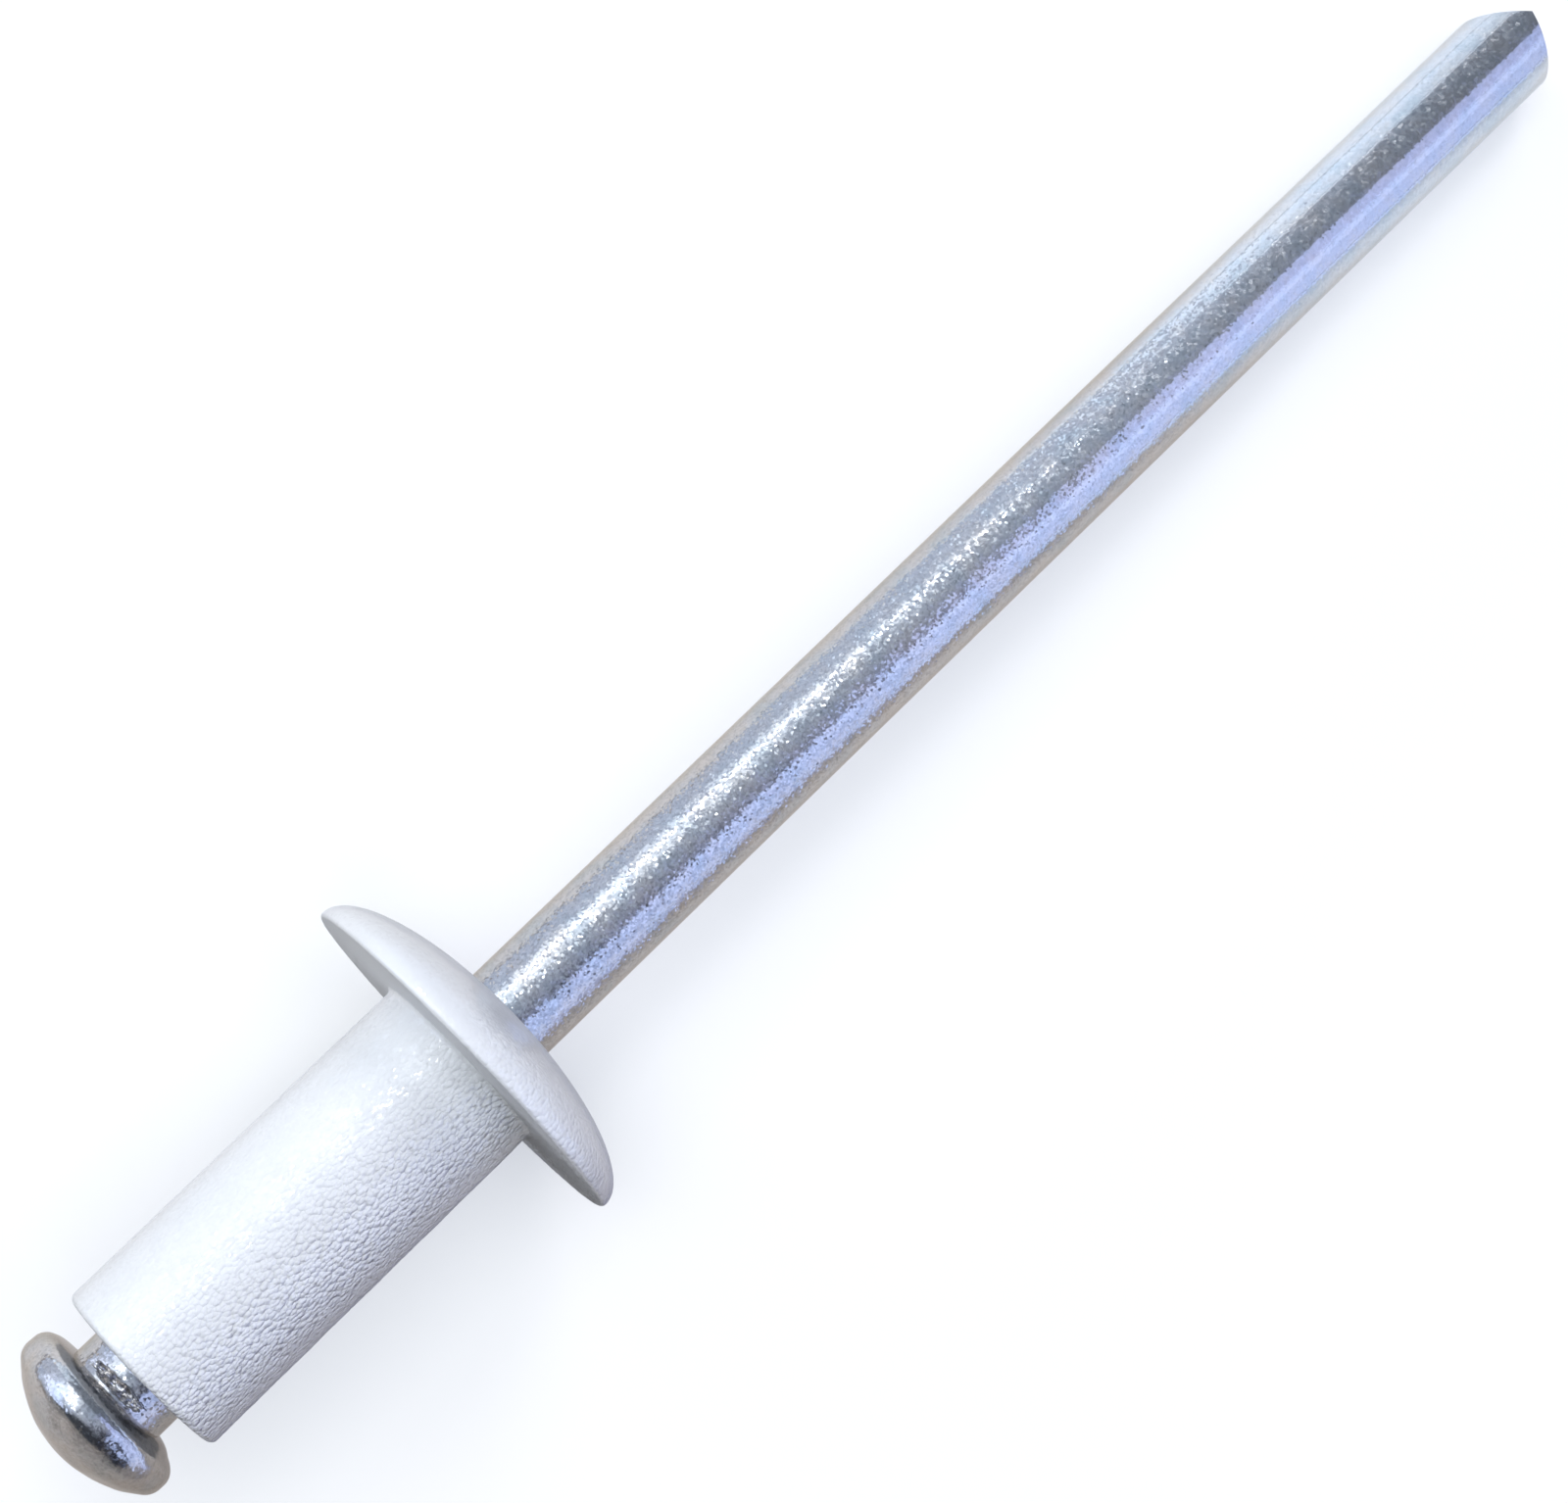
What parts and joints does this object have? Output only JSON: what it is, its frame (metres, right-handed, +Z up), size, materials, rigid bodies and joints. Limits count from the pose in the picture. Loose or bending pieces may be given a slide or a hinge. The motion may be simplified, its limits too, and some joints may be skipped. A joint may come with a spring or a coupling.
{
  "type": "pop rivet",
  "caption": "Open-end blind rivet with a white coated dome-flange body on a zinc-plated steel mandrel with a domed head and a cut point.",
  "frame": {"origin": "centre of the flange's bearing face, on the rivet's axis", "axes": "+X along the rivet from the mandrel's head to its point, level; +Z up from the surface that it lies on; the rivet's own axis falls by about 5 degrees towards the point, because it rests on the flange's rim and the end of the stem"},
  "size_m": [0.0442, 0.0084, 0.0083],
  "materials": {
    "white_coat": "fine textured white powder coat over aluminium, semi-matte",
    "zinc_steel": "bright zinc plating with a fine crystalline grain"
  },
  "bodies": {
    "root": {"rivet_body": "white_coat", "mandrel": "zinc_steel"}
  },
  "joints": []
}
